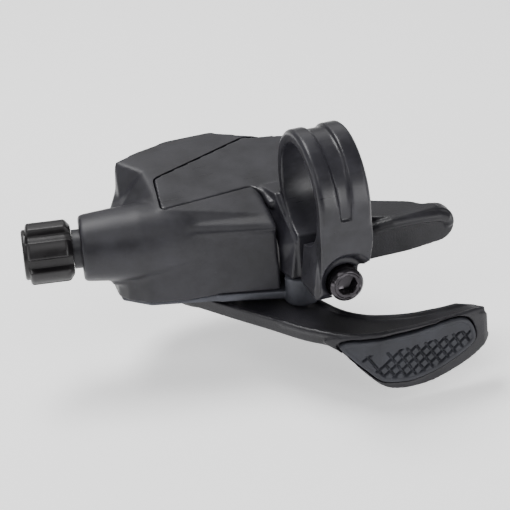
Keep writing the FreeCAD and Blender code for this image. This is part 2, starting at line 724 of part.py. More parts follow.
PAWL_TIP = [(9.5, -0.5), (11.9, -0.5), (12.7, -1.5), (13.4, -5.2)]
PAWL_HEEL = [(10.0, -5.4), (11.15, -2.2), (10.05, -1.2)]
HOLD_TAIL = [(13.6, -8.2), (12.9, -10.4), (11.3, -10.2), (10.2, -7.6)]
PAWL_BOSS = 2.3


def pawl(name, pin_angle, bottom, thickness, tail=()):
    """A pawl drawn lifted clear of the teeth. Its outline is in radial and tangential steps
    about the main axle, measured from the tooth that it would drop into."""
    toe_angle = pin_angle + PAWL_LEAD
    turn = Rotation(AXIS_Z, toe_angle)
    pin = polar(SIZES["pawl_circle"], pin_angle)

    def spot(radial, tangential):
        return PIVOT + turn.multVec(Vector(radial, tangential, 0))

    corners = [spot(*corner) for corner in [*PAWL_TIP, *tail, *PAWL_HEEL]]
    blade = Part.Face(Part.makePolygon([*corners, corners[0]])).extrude(Vector(0, 0, thickness))
    boss = Part.makeCylinder(PAWL_BOSS, thickness, pin, AXIS_Z)
    hole = Part.makeCylinder(SIZES["stud_radius"] + SIZES["running"], thickness, pin, AXIS_Z)
    part = doc.addObject("Part::Feature", name)
    part.Shape = blade.fuse(boss).cut(hole).removeSplitter()
    lifted = Placement(Vector(), Rotation(AXIS_Z, -PAWL_LIFT), pin)
    part.Placement = Placement(Vector(0, 0, bottom), Rotation()).multiply(lifted)
    return part


def make_pawls():
    floor = SIZES["housing_bottom"]
    stud = polar(SIZES["pawl_circle"], DRIVE_STUD_ANGLE)
    hold = polar(SIZES["pawl_circle"], HOLD_PIN_ANGLE)
    blade = pawl("drive_pawl_blade", DRIVE_STUD_ANGLE, floor + DRIVE_LEVEL, RATCHET_THICKNESS)
    kept(blade, "drive_pawl")
    index_floor = floor + INDEX_LEVEL
    blade = pawl("hold_pawl_blade", HOLD_PIN_ANGLE, index_floor, RATCHET_THICKNESS, HOLD_TAIL)
    kept(blade, "hold_pawl")
    stud_foot = (stud.x, stud.y, "$lever_top - $lever_thickness")
    kept(cylinder("drive_stud_pin", "$stud_radius", "$stud_length", stud_foot), "drive_stud")
    clip_foot = (stud.x, stud.y, "$housing_bottom + 2.4")
    clip = cut(
        "stud_clip",
        tube("stud_clip_ring", "$stud_radius + 0.8", "$stud_radius", 0.4, clip_foot),
        box("stud_clip_gap", (3, 1.6, 1), (stud.x + 0.6, stud.y - 0.8, "$housing_bottom + 2")),
    )
    kept(clip, "drive_stud_clip")
    pin = fuse(
        "hold_pin_whole",
        cylinder("hold_pin", "$stud_radius", PIN_HEIGHT, (hold.x, hold.y, PIN_FOOT)),
        cylinder("hold_pin_shoulder", "$stud_radius + 0.7", 2.7, (hold.x, hold.y, "$housing_bottom")),
    )
    kept(pin, "hold_pawl_pin")
    legs = ((2.0, -30), (2.0, 105))
    spring = coil("drive_pawl_coil", Vector(stud.x, stud.y, floor + 3.4), 2.0, 0.3, 0.8, 1.5, legs)
    kept(spring, "drive_pawl_spring")
    legs = ((2.0, -60), (2.0, 60))
    spring = coil("hold_pawl_coil", Vector(hold.x, hold.y, floor + 5.2), 2.1, 0.3, 0.8, 2.0, legs)
    kept(spring, "hold_pawl_spring")


def ratchet(name, step_angle, bottom, thickness):
    """A ring of saw teeth: each rises straight at its step and falls away anticlockwise."""
    corners = []
    for index in range(TOOTH_COUNT):
        start = step_angle + PITCH * index
        corners.append(polar(SIZES["root_radius"], start))
        corners.append(polar(SIZES["tooth_radius"], start))
        corners.append(polar((SIZES["tooth_radius"] + SIZES["root_radius"]) / 2, start + PITCH / 2))
    wheel = Part.Face(Part.makePolygon([*corners, corners[0]])).extrude(Vector(0, 0, thickness))
    hub = Part.makeCylinder(SIZES["spool_core"], thickness, PIVOT, AXIS_Z)
    part = doc.addObject("Part::Feature", name)
    part.Shape = wheel.cut(hub)
    part.Placement = Placement(Vector(0, 0, bottom), Rotation())
    return part


# ---------------------------------------------------------------- cable spool

def make_spool():
    """The spool that winds the cable, its two ratchets, its bush and its spiral spring."""
    floor = SIZES["housing_bottom"]
    middle = SIZES["cable_height"]
    core = SIZES["spool_core"]
    bush = SIZES["bush_radius"]
    rim = SIZES["spool_radius"]
    body = new_body("spool_blank")
    sketch = body_sketch(body, "XZ", "-$pivot_y")
    profile = [
        (bush, floor + 0.4), (core, floor + 0.4), (core, middle - 2.4), (rim, middle - 2.4),
        (rim, middle - 1.0), (9.75, middle - 0.6), (9.75, middle + 0.6), (rim, middle + 1.0),
        (rim, middle + 2.4), (8.6, middle + 2.4), (8.6, middle - 0.4), (5.0, middle - 0.4),
        (5.0, middle + 2.2), (bush, middle + 2.2),
    ]
    polygon(sketch, [(SIZES["pivot_x"] + reach, height) for reach, height in profile])
    turned = body.newObject("PartDesign::Revolution", "spool_turned")
    axis_sketch = body_sketch(body, "XZ", "-$pivot_y")
    line = axis_sketch.addGeometry(
        Part.LineSegment(Vector(SIZES["pivot_x"], -10, 0), Vector(SIZES["pivot_x"], 10, 0)), False
    )
    axis_sketch.addConstraint(Sketcher.Constraint("Vertical", line))
    turned.Profile = sketch
    turned.ReferenceAxis = (axis_sketch, ["Edge1"])
    turned.Angle = 360
    body.Tip = turned
    doc.recompute()
    anchor_spot = ("$pivot_x + 9.6", "$pivot_y - 5.4", "$cable_height - 1.4")
    anchor = cylinder("cable_head_space", 2.3, 6, anchor_spot)
    kept(cut("cable_spool_cut", body, anchor), "cable_spool")
    spot = ("$pivot_x", "$pivot_y", "$housing_bottom + 0.4")
    bush_height = "$bridge_bottom - 0.7 - $housing_bottom - 0.4"
    kept(tube("bush_tube", "$bush_radius", "$axle_radius + $running", bush_height, spot), "spool_bush")
    step = DRIVE_STUD_ANGLE + PAWL_LEAD
    kept(ratchet("drive_teeth", step, floor + DRIVE_LEVEL, RATCHET_THICKNESS), "drive_ratchet")
    step = HOLD_PIN_ANGLE + PAWL_LEAD
    kept(ratchet("index_teeth", step, floor + INDEX_LEVEL, RATCHET_THICKNESS), "index_ratchet")
    kept(make_spiral(middle, 2.0), "spool_spring")
    legs = ((5.0, -75), (5.0, 75))
    spring = coil("lever_coil", PIVOT + Vector(0, 0, floor + 5.4), 6.2, 0.5, 1.15, 2.0, legs)
    kept(spring, "lever_return_spring")


def make_spiral(bottom, height):
    """A flat spiral spring that lies in the top of the spool."""
    turns = 2.5
    inner = 5.5
    growth = 0.95
    strip = 0.35

    def rim(extra):
        spots = []
        for step in range(int(turns * 16) + 1):
            angle = 22.5 * step
            spots.append(polar(inner + growth * angle / 360 + extra, angle))
        curve = Part.BSplineCurve()
        curve.interpolate(spots)
        return curve.toShape(), spots[0], spots[-1]

    near, near_start, near_end = rim(0)
    far, far_start, far_end = rim(strip)
    edges = [near, Part.makeLine(near_end, far_end), far, Part.makeLine(far_start, near_start)]
    part = doc.addObject("Part::Feature", "spiral")
    part.Shape = Part.Face(Part.Wire(Part.__sortEdges__(edges))).extrude(Vector(0, 0, height))
    part.Placement = Placement(Vector(0, 0, bottom), Rotation())
    return part


# ---------------------------------------------------------------- release lever

def make_release_lever():
    """The upper lever, which lets one click of cable go, with its pin and spring."""
    body = new_body("release_blank")
    arm = body_sketch(body, "XY", "$release_top - $release_thickness")
    polygon(arm, RELEASE_OUTLINE)
    grow(body, "Pad", arm, "$release_thickness")
    face = body_sketch(body, "XZ", "-$release_face - 3.6")
    polygon(face, RELEASE_FACE_OUTLINE)
    grow(body, "Pad", face, "3.6")
    sleeve = body_sketch(body, "XY", "$housing_bottom + 2.7")
    circle(sleeve, ("release_x", "release_y"), 3.3)
    grow(body, "Pad", sleeve, "$release_top - $housing_bottom - 2.7")
    nose = body_sketch(body, "XY", "$housing_bottom + 2.8")
    polygon(nose, [(-4.6, 31.0), (-1.0, 32.0), (-2.6, 34.6), (-4.4, 34.4)])
    grow(body, "Pad", nose, "1.9")
    floor = ("$release_x", "$release_y", "$housing_bottom")
    hole = cylinder("release_hole", "$release_pin_radius + $running", 14, floor)
    kept(cut("release_lever_cut", body, hole), "release_lever")
    pin = fuse(
        "release_pin_whole",
        cylinder("release_shaft", "$release_pin_radius", PIN_HEIGHT, ("$release_x", "$release_y", PIN_FOOT)),
        cylinder("release_shoulder", "$release_pin_radius + 0.5", 2.6, floor),
    )
    kept(pin, "release_pin")
    top = Vector(SIZES["release_x"], SIZES["release_y"], SIZES["release_top"] + 0.4)
    kept(coil("release_coil", top, 2.7, 0.3, 0.65, 2.0, ((2.0, -60), (2.0, 60))), "release_spring")


# ---------------------------------------------------------------- barrel adjuster

def make_adjuster():
    """The barrel adjuster: threaded insert, barrel, lobed knob, sliding collar and spring."""
    along = ALONG_ADJUSTER
    insert = tube("insert_tube", "$neck_bore", "$barrel_radius + $running", 5.6, adjuster_spot(-12), along)
    kept(insert, "neck_insert")
    rim = "$neck_bore - $running"
    collar = tube("collar_tube", rim, "$barrel_radius + $running", 4.9, adjuster_spot(-3.2), along)
    kept(collar, "adjuster_collar")
    mouth = Vector(SIZES["adjuster_x"], SIZES["adjuster_y"], SIZES["cable_height"])
    spring = coil("adjuster_coil", mouth + ADJUSTER_WAY * -6.0, 3.35, 0.35, 1.1, 2.0, (), along)
    kept(spring, "adjuster_spring")
    shank = cylinder("barrel_shank", "$barrel_radius", 14.8, adjuster_spot(-13), along)
    head = cylinder("barrel_head", "$barrel_radius + 1.2", "$knob_length - 0.6", adjuster_spot(1.8), along)
    cable = cylinder("barrel_cable_space", 0.9, 30, adjuster_spot(-14), along)
    ferrule = cylinder("ferrule_space", "$ferrule_radius", "$ferrule_depth + 2", adjuster_spot(3.9), along)
    kept(cut("adjuster_barrel_cut", fuse("barrel_whole", shank, head), cable, ferrule), "adjuster_barrel")

    body = new_body("knob_body")
    disc = body_sketch(body, "XY", 0)
    circle(disc, (0, 0), "knob_radius")
    grow(body, "Pad", disc, "$knob_length")
    flute = body_sketch(body, "XY", 0)
    circle(flute, ("flute_circle", 0), "flute_radius")
    groove = grow(body, "Pocket", flute, 0)
    pattern = body.newObject("PartDesign::PolarPattern", "knob_flutes")
    pattern.Originals = [groove]
    pattern.Axis = (flute, ["N_Axis"])
    pattern.Angle = 360
    pattern.Occurrences = 6
    body.Tip = pattern
    doc.recompute()
    place(body, adjuster_spot(1.8), along)
    hole = cylinder("knob_hole", "$barrel_radius + 1.2", 14, adjuster_spot(1), along)
    kept(cut("adjuster_knob_cut", body, hole), "adjuster_knob")


def write_parts():
    """Checks every object of the document, then writes each sub-part to its own STEP file."""
    doc.recompute()
    failed = [part.Label for part in doc.Objects if {"Invalid", "Error"} & set(part.State)]
    for part in exported:
        if part.Shape.isNull() or not part.Shape.isValid() or not part.Shape.Solids:
            failed.append(part.Label)
    if failed:
        raise RuntimeError(f"these objects failed: {sorted(set(failed))}")
    os.makedirs("parts", exist_ok=True)
    for part in exported:
        part.Shape.exportStep(f"parts/{part.Label}.step")
        print(f"{part.Label:22s} solids {len(part.Shape.Solids)}  volume {part.Shape.Volume:9.2f}")


make_bracket()
make_clamp_bolt()
make_housing()
make_cable_plug()
make_base_plate()
make_bridge()
make_screws()
make_axle()
make_bearing()
make_thumb_lever()
make_grip_pad()
make_pawls()
make_spool()
make_release_lever()
make_adjuster()
write_parts()
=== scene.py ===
"""The looks of a right-hand thumb shifter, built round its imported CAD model.

Shapes are worked out in millimetres in the CAD's own frame: the origin is the centre of the
handlebar clamp's bore, +X runs along the bar towards the levers' tips, +Y points forwards and
+Z up. Each piece is scaled to metres when it is finished.
"""
import json
import math

import bmesh
import bpy
from mathutils import Matrix, Vector


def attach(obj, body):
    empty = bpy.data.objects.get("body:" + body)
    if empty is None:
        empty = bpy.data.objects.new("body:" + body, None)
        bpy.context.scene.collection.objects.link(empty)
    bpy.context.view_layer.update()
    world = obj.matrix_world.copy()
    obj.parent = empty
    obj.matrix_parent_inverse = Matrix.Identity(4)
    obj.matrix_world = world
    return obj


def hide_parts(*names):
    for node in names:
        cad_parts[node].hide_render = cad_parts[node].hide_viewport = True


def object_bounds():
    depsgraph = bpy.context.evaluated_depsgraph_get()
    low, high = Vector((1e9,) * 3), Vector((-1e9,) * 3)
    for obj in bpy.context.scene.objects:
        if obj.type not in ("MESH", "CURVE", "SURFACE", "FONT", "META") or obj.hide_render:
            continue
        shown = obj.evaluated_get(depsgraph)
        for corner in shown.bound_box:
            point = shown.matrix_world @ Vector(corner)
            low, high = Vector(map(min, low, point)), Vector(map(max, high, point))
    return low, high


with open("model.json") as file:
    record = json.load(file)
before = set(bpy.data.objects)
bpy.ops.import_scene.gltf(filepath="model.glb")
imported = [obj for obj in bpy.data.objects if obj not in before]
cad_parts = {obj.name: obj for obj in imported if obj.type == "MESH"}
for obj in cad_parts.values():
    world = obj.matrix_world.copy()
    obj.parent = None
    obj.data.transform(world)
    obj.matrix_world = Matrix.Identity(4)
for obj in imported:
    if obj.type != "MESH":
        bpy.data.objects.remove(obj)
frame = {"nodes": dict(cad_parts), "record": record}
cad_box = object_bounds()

MM = 0.001
scene = bpy.context.scene


# ---------------------------------------------------------------- solids

def put(name, bm):
    """Links a new object that holds the bmesh, with its normals facing out."""
    bmesh.ops.recalc_face_normals(bm, faces=bm.faces)
    mesh = bpy.data.meshes.new(name)
    bm.to_mesh(mesh)
    bm.free()
    piece = bpy.data.objects.new(name, mesh)
    scene.collection.objects.link(piece)
    return piece


def stack(name, rings):
    """A closed solid through rings that all have the same number of corners."""
    bm = bmesh.new()
    rows = [[bm.verts.new(corner) for corner in ring] for ring in rings]
    count = len(rows[0])
    for lower, upper in zip(rows, rows[1:]):
        for index in range(count):
            after = (index + 1) % count
            bm.faces.new((lower[index], lower[after], upper[after], upper[index]))
    bm.faces.new(rows[0])
    bm.faces.new(rows[-1])
    return put(name, bm)


PLANES = {
    "XY": lambda a, b, level: (a, b, level),
    "XZ": lambda a, b, level: (a, level, b),
    "YZ": lambda a, b, level: (level, a, b),
}


def prism(name, outline, low, high, plane="XY"):
    spot = PLANES[plane]
    return stack(name, [[spot(a, b, level) for a, b in outline] for level in (low, high)])


def turned(name, profile, spot, way, steps=72):
    """A solid of revolution about the line from spot along way; profile is (reach, radius)."""
    basis = Vector(way).to_track_quat("Z", "Y")
    rings = []
    for reach, radius in profile:
        angles = [math.tau * step / steps for step in range(steps)]
        ring = [Vector((radius * math.cos(a), radius * math.sin(a), reach)) for a in angles]
        rings.append([basis @ corner + Vector(spot) for corner in ring])
    return stack(name, rings)


def brick(name, low, high):
    outline = [(low[0], low[1]), (high[0], low[1]), (high[0], high[1]), (low[0], high[1])]
    return prism(name, outline, low[2], high[2])


def swept(name, path, radius, sides=16):
    """A round bar with tapered ends along a path of points."""
    points = [Vector(point) for point in path]
    rings = []
    for index, point in enumerate(points):
        ahead, behind = points[min(index + 1, len(points) - 1)], points[max(index - 1, 0)]
        heading = (ahead - behind).to_track_quat("Z", "Y")
        size = radius * (0.3 if index in (0, len(points) - 1) else 1.0)
        turns = [math.tau * side / sides for side in range(sides)]
        rings.append([heading @ Vector((size * math.cos(t), size * math.sin(t), 0)) + point for t in turns])
    return stack(name, rings)


def curve(corners, steps=6):
    """A smooth closed line through the corners."""
    points = []
    count = len(corners)
    for index in range(count):
        a, b, c, d = (Vector(corners[(index + offset) % count]) for offset in (-1, 0, 1, 2))
        for step in range(steps):
            u = step / steps
            points.append(
                0.5 * (2 * b + (c - a) * u + (2 * a - 5 * b + 4 * c - d) * u * u
                       + (3 * b - a - 3 * c + d) * u * u * u)
            )
    return [tuple(point) for point in points]


def softened(corners, radius, steps=4):
    """The outline with each corner replaced by a short curve of about that radius."""
    points = []
    count = len(corners)
    for index in range(count):
        before, here, after = (Vector(corners[(index + offset) % count]) for offset in (-1, 0, 1))
        reach = min(radius, 0.45 * (before - here).length, 0.45 * (after - here).length)
        start = here + (before - here).normalized() * reach
        end = here + (after - here).normalized() * reach
        for step in range(steps + 1):
            u = step / steps
            points.append(start * (1 - u) ** 2 + here * 2 * u * (1 - u) + end * u * u)
    return [tuple(point) for point in points]


def inset(corners, distance):
    """The outline moved inwards by distance, corner for corner."""
    count = len(corners)
    area = sum(
        corners[i][0] * corners[(i + 1) % count][1] - corners[(i + 1) % count][0] * corners[i][1]
        for i in range(count)
    )
    side = math.copysign(1, area)
    moved = []
    for index in range(count):
        before, here, after = (Vector(corners[(index + offset) % count][:2]) for offset in (-1, 0, 1))
        first = (here - before).normalized()
        second = (after - here).normalized()
        normals = [Vector((-way.y, way.x)) * side for way in (first, second)]
        middle = (normals[0] + normals[1]).normalized()
        spread = max(middle.dot(normals[0]), 0.5)
        moved.append(tuple(here + middle * distance / spread))
    return moved


def baked(piece):
    """Applies the piece's modifiers."""
    graph = bpy.context.evaluated_depsgraph_get()
    mesh = bpy.data.meshes.new_from_object(piece.evaluated_get(graph))
    piece.modifiers.clear()
    piece.data = mesh
    return piece


def combine(base, operation, tools):
    for tool in tools:
        step = base.modifiers.new("combine", "BOOLEAN")
        step.operation = operation
        step.solver = "EXACT"
        step.object = tool
        baked(base)
        bpy.data.objects.remove(tool)
    return base


def join(base, *tools):
    return combine(base, "UNION", tools)


def carve(base, *tools):
    return combine(base, "DIFFERENCE", tools)


def mould(piece, voxel, passes):
    """Rounds every edge, as on a moulded, cast or forged piece."""
    remesh = piece.modifiers.new("remesh", "REMESH")
    remesh.mode = "VOXEL"
    remesh.voxel_size = voxel
    smooth = piece.modifiers.new("smooth", "SMOOTH")
    smooth.factor = 0.5
    smooth.iterations = passes
    return baked(piece)


def bevelled(piece, width, segments=3, angle=30):
    step = piece.modifiers.new("bevel", "BEVEL")
    step.width = width
    step.segments = segments
    step.limit_method = "ANGLE"
    step.angle_limit = math.radians(angle)
    return baked(piece)


def done(piece, body, slot, *nodes):
    """Scales the piece to metres, gives it its finish and hands it to its body."""
    piece.data.transform(Matrix.Scale(MM, 4))
    piece.data.shade_smooth()
    piece.data.set_sharp_from_angle(angle=math.radians(50))
    piece.data.materials.clear()
    piece.data.materials.append(FINISHES[slot])
    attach(piece, body)
    if nodes:
        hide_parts(*nodes)
    return piece


# ---------------------------------------------------------------- finishes

def finish(name, colour, roughness, metallic=0.0, grain=900.0, bump=0.15, fleck=0.0, coat=0.0, edge_highlight=0.35):
    """A finish with mottled colour and gloss, fine grain, faint scratches and a painted highlight on sharp
    edges.
    """
    material = bpy.data.materials.new(name)
    material.use_nodes = True
    tree = material.node_tree
    shader = tree.nodes["Principled BSDF"]
    shader.inputs["Metallic"].default_value = metallic
    shader.inputs["Specular IOR Level"].default_value = 0.5 if metallic else 0.34
    shader.inputs["Coat Weight"].default_value = coat
    shader.inputs["Coat Roughness"].default_value = 0.25

    def node(kind, **values):
        made = tree.nodes.new(kind)
        for key, value in values.items():
            made.inputs[key].default_value = value
        return made

    place = tree.nodes.new("ShaderNodeTexCoord").outputs["Object"]
    clouds = node("ShaderNodeTexNoise", Scale=140.0, Detail=5.0, Roughness=0.6)
    fine = node("ShaderNodeTexNoise", Scale=grain * 4, Detail=3.0, Roughness=0.7)
    flecks = node("ShaderNodeTexVoronoi", Scale=grain * 5)
    scratch_map = node("ShaderNodeMapping", Scale=(60.0, 2600.0, 900.0), Rotation=(0.2, 0.5, 0.4))
    scratches = node("ShaderNodeTexNoise", Scale=1.0, Detail=2.0)
    for texture in (clouds, fine, flecks):
        tree.links.new(place, texture.inputs["Vector"])
    tree.links.new(place, scratch_map.inputs["Vector"])
    tree.links.new(scratch_map.outputs["Vector"], scratches.inputs["Vector"])

    def ramp(source, low, high, start, end):
        made = node("ShaderNodeMapRange")
        for key, value in zip(("From Min", "From Max", "To Min", "To Max"), (low, high, start, end)):
            made.inputs[key].default_value = value
        tree.links.new(source, made.inputs["Value"])
        return made.outputs["Result"]

    def blend(kind, factor, first, second):
        made = tree.nodes.new("ShaderNodeMix")
        made.data_type = "RGBA"
        made.blend_type = kind
        for socket, value in (("Factor_Float", factor), ("A_Color", first), ("B_Color", second)):
            target = next(s for s in made.inputs if s.identifier == socket)
            if isinstance(value, bpy.types.NodeSocket):
                tree.links.new(value, target)
            else:
                target.default_value = value
        return next(s for s in made.outputs if s.identifier == "Result_Color")

    dark = (*(0.72 * channel for channel in colour), 1.0)
    light = (*(min(1.25 * channel + 0.004, 1.0) for channel in colour), 1.0)
    pale = (*(min(2.6 * channel + 0.05, 1.0) for channel in colour), 1.0)
    mottled = blend("MIX", ramp(clouds.outputs["Fac"], 0.35, 0.65, 0.0, 1.0), dark, light)
    # Sharp convex edges are painted paler by their pointiness: a painted highlight along the edges, standing in
    # for light catching them.
    edge = tree.nodes.new("ShaderNodeNewGeometry").outputs["Pointiness"]
    highlit_edges = blend("MIX", ramp(edge, 0.52, 0.60, 0.0, edge_highlight), mottled, pale)
    speckled = blend("MIX", ramp(flecks.outputs["Distance"], 0.16, 0.05, 0.0, fleck), highlit_edges, pale)
    tree.links.new(speckled, shader.inputs["Base Color"])

    gloss = tree.nodes.new("ShaderNodeMath")
    gloss.operation = "ADD"
    tree.links.new(ramp(clouds.outputs["Fac"], 0.3, 0.7, roughness - 0.06, roughness + 0.06), gloss.inputs[0])
    tree.links.new(ramp(scratches.outputs["Fac"], 0.62, 0.75, 0.0, -0.08), gloss.inputs[1])
    tree.links.new(gloss.outputs["Value"], shader.inputs["Roughness"])

    relief = node("ShaderNodeBump", Strength=bump, Distance=0.00012)
    tree.links.new(fine.outputs["Fac"], relief.inputs["Height"])
    tree.links.new(relief.outputs["Normal"], shader.inputs["Normal"])
    return material


FINISHES = {
    "moulded_black": finish("moulded_black", (0.017, 0.0165, 0.021), 0.44, grain=800, bump=0.2, edge_highlight=0.05),
    "clamp_black": finish("clamp_black", (0.014, 0.0135, 0.018), 0.36,
                          grain=600, bump=0.1, coat=0.1, edge_highlight=0.08),
    "bolt_black": finish("bolt_black", (0.034, 0.030, 0.035), 0.17,
                         metallic=0.6, grain=700, bump=0.08, edge_highlight=0.5),
    "plate_grey": finish("plate_grey", (0.040, 0.042, 0.052), 0.42,
                         metallic=0.4, grain=700, bump=0.3, edge_highlight=0.2),
    "lever_black": finish("lever_black", (0.009, 0.0085, 0.0115), 0.38, grain=700, bump=0.6,
                          fleck=0.25, edge_highlight=0.12),
    "grip_rubber": finish("grip_rubber", (0.020, 0.021, 0.027), 0.58, grain=500, bump=0.25, edge_highlight=0.06),
    "plug_rubber": finish("plug_rubber", (0.022, 0.022, 0.024), 0.7, grain=500, bump=0.3, edge_highlight=0.05),
    "seal_rubber": finish("seal_rubber", (0.020, 0.020, 0.024), 0.6, grain=500, bump=0.2, edge_highlight=0.05),
    "knob_black": finish("knob_black", (0.008, 0.007, 0.008), 0.36, grain=600, bump=0.08, edge_highlight=0.12),
    "barrel_grey": finish("barrel_grey", (0.10, 0.10, 0.11), 0.35,
                          metallic=0.9, grain=700, bump=0.1, edge_highlight=0.3),
    "steel": finish("steel", (0.42, 0.42, 0.43), 0.32, metallic=1.0, grain=800, bump=0.15, edge_highlight=0.2),
    "spring_steel": finish("spring_steel", (0.36, 0.36, 0.38), 0.28,
                           metallic=1.0, grain=800, bump=0.1, edge_highlight=0.1),
    "spool_plastic": finish("spool_plastic", (0.06, 0.06, 0.062), 0.5, grain=500, bump=0.15, edge_highlight=0.1),
    "bush_brass": finish("bush_brass", (0.55, 0.38, 0.14), 0.3, metallic=1.0, grain=700, bump=0.1, edge_highlight=0.2),
}


# ---------------------------------------------------------------- places shared by the pieces

ADJUSTER_YAW = math.radians(168.6)
ADJUSTER_WAY = Vector((math.cos(ADJUSTER_YAW), math.sin(ADJUSTER_YAW), 0.0))
NECK_MOUTH = Vector((-48.4, 23.3, -13.1))
RING_RADIUS = 13.9
BAR_RADIUS = 11.15
HALF_WIDTH = 5.75
BOLT_HEIGHT = -17.6
BOLT_SEAT = -7.6
FOOT_DEPTH = 1.6
EAR_BOTTOM = -21.0

FOOT = [
    (-31.2, 17.4), (-10.2, 19.1), (-8.7, 16.5), (-8.7, 12.0), (5.75, 12.0), (5.75, 27.0), (3.0, 35.0),
    (-6.2, 37.0), (-16.8, 33.1), (-29.4, 28.6),
]


def top_height(y):
    """The height of the housing's sloping top at that distance forwards."""
    return -5.0 + 0.2 * (y - 18.0)


def tilted_prism(name, outline, below, above):
    """A prism between two planes parallel to the housing's top."""
    return stack(name, [[(x, y, top_height(y) + level) for x, y in outline] for level in (-below, above)])


# ---------------------------------------------------------------- housing

WALLS = [
    (-9.0, 6.4), (-36.0, 14.9), (-40.0, 18.4), (-41.5, 21.5), (-41.0, 27.5), (-38.9, 33.0), (-36.2, 38.2),
    (-28.0, 42.4), (-22.0, 43.6), (-10.0, 43.4), (-2.0, 41.0), (4.0, 35.5), (5.5, 29.0), (4.0, 21.5),
    (-1.0, 16.2), (-8.4, 11.0),
]
TOP = [
    (-9.5, 18.8), (-31.6, 17.4), (-31.4, 20.0), (-31.2, 23.0), (-31.0, 27.0), (-31.0, 31.9), (-35.6, 37.7),
    (-29.8, 39.9), (-22.9, 41.6), (-12.4, 41.8), (-5.6, 38.2), (0.9, 34.6), (2.2, 29.0), (2.0, 22.5),
    (-3.5, 20.5), (-9.2, 19.5),
]
CREASE_HEIGHT = -10.6
SKIRT_END = -27.0


def sloped_ring(share, height):
    """The housing's outline that share of the way in from its walls to its top."""
    ring = []
    for low, high in zip(WALLS, TOP):
        x, y = Vector(low).lerp(Vector(high), share)
        ring.append((x, y, height))
    return ring


def below_skirt(name):
    """All that lies under the walls' lower edge, which drops at the left to hide the base plate."""
    return prism(name, [
        (-60.0, -25.5), (-28.0, -25.5), (-22.0, -24.7), (20.0, -24.5), (20.0, -40.0), (-60.0, -40.0),
    ], 0.0, 60.0, "XZ")


def base_plate():
    """The base plate, let in behind the walls' skirt."""
    skirt = prism("skirt", inset(WALLS, -1.0), SKIRT_END, -20.0)
    carve(skirt, prism("skirt_inside", inset(WALLS, 1.2), SKIRT_END - 1.0, -19.0), below_skirt("skirt_end"))
    plate = bpy.data.objects.new("base_plate_rounded", frame["nodes"]["base_plate"].data.copy())
    scene.collection.objects.link(plate)
    plate.data.transform(Matrix.Scale(1 / MM, 4))
    carve(plate, skirt)
    return done(mould(plate, 0.25, 3), "shifter_body", "plate_grey", "base_plate")


def neck():
    """The neck, which widens from its mouth and then sinks into the front and left walls."""
    profile = [(0.0, 6.9), (-0.4, 7.25), (-7.0, 7.9), (-13.0, 8.3), (-18.0, 8.1), (-24.0, 7.4), (-30.0, 6.4)]
    return turned("neck", profile, NECK_MOUTH, ADJUSTER_WAY)


def housing():
    """The moulded cover, hollow, with its neck, its window and the pocket for the bracket's foot."""
    top = [(x, y, top_height(y)) for x, y in TOP]
    outside = stack("housing_shell", [
        [(x, y, SKIRT_END) for x, y in WALLS], sloped_ring(0.035, CREASE_HEIGHT - 0.9),
        sloped_ring(0.03, CREASE_HEIGHT - 0.1), sloped_ring(-0.02, CREASE_HEIGHT + 0.5),
        sloped_ring(0.06, CREASE_HEIGHT + 1.5), sloped_ring(0.30, CREASE_HEIGHT + 2.7), top,
    ])
    lug_place = NECK_MOUTH + Vector((0, -1.5, -7.6))
    lug = turned("neck_lug", [(-10.5, 1.5), (-5.6, 1.4)], lug_place, ADJUSTER_WAY, 24)
    step = brick("step_space", (-60.0, 0.0, -30.0), (-41.9, 19.6, -21.4))
    join(outside, neck(), lug)
    mould(outside, 0.42, 9)
    hollow = stack("hollow", [
        [(x, y, SKIRT_END - 1.0) for x, y in inset(WALLS, 1.5)],
        [(x, y, CREASE_HEIGHT - 1.0) for x, y in inset(WALLS, 1.9)],
        [(x, y, top_height(y) - 3.0) for x, y in inset(TOP, 2.2)],
    ])
    bore = turned("neck_bore", [(1.0, 4.4), (-17.0, 4.4)], NECK_MOUTH, ADJUSTER_WAY)
    window = brick("window", (-1.0, 15.0, -16.2), (14.0, 37.5, -11.3))
    pocket = tilted_prism("foot_pocket", inset(softened(FOOT, 1.2), -0.28), FOOT_DEPTH + 0.4, 6.0)
    plug = turned("plug_hole", [(0.0, 2.5), (8.0, 2.5)], (-15.0, 39.0, -13.1), (0, 1, 0), 32)
    under_web = prism("under_web", [
        (8.0, -30.0), (8.0, -14.9), (13.2, -8.5), (20.5, -7.6), (20.5, 4.0), (2.0, 4.0), (2.0, -30.0),
    ], -8.75, 9.0, "YZ")
    carve(outside, hollow, bore, window, plug, step, below_skirt("floor_cut"))
    mould(outside, 0.24, 4)
    carve(outside, pocket, under_web)
    return done(outside, "shifter_body", "moulded_black", "main_housing")


# ---------------------------------------------------------------- handlebar clamp

